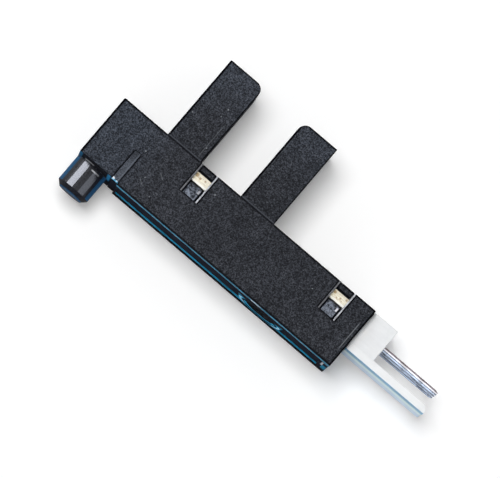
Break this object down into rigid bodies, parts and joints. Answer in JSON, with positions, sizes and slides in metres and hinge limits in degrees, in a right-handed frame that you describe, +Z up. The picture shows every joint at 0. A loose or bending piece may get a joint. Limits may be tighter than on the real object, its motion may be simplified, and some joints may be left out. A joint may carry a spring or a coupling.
{
  "type": "slotted optical switch",
  "caption": "Screw-fixed slotted optical switch: black two-armed case with snap-in base cover, locating boss and a white pin connector.",
  "frame": {"origin": "middle of the footprint of the part's box, on the surface that it lies on", "axes": "+X along the case towards the connector's pins, +Y towards the arms' tips, +Z up through the case's depth, from the side face that it lies on"},
  "size_m": [0.0416, 0.0196, 0.0085],
  "materials": {
    "case_plastic": "fine satin texture",
    "cover_plastic": "satin",
    "board_laminate": "sawn edge",
    "emitter_resin": "clear, gloss",
    "detector_resin": "dark, gloss",
    "resistor_ceramic": "satin",
    "capacitor_ceramic": "satin",
    "connector_nylon": "satin",
    "tinned_metal": "bright tin"
  },
  "bodies": {
    "root": {"case": "case_plastic", "base_cover": "cover_plastic", "circuit_board": "board_laminate", "emitter_body": "emitter_resin", "emitter_lead_1": "tinned_metal", "emitter_lead_2": "tinned_metal", "detector_body": "detector_resin", "detector_lead_1": "tinned_metal", "detector_lead_2": "tinned_metal", "detector_lead_3": "tinned_metal", "emitter_resistor": "resistor_ceramic", "output_resistor": "resistor_ceramic", "supply_capacitor": "capacitor_ceramic", "connector_housing": "connector_nylon", "connector_pin_1": "tinned_metal", "connector_pin_2": "tinned_metal", "connector_pin_3": "tinned_metal"}
  },
  "joints": []
}
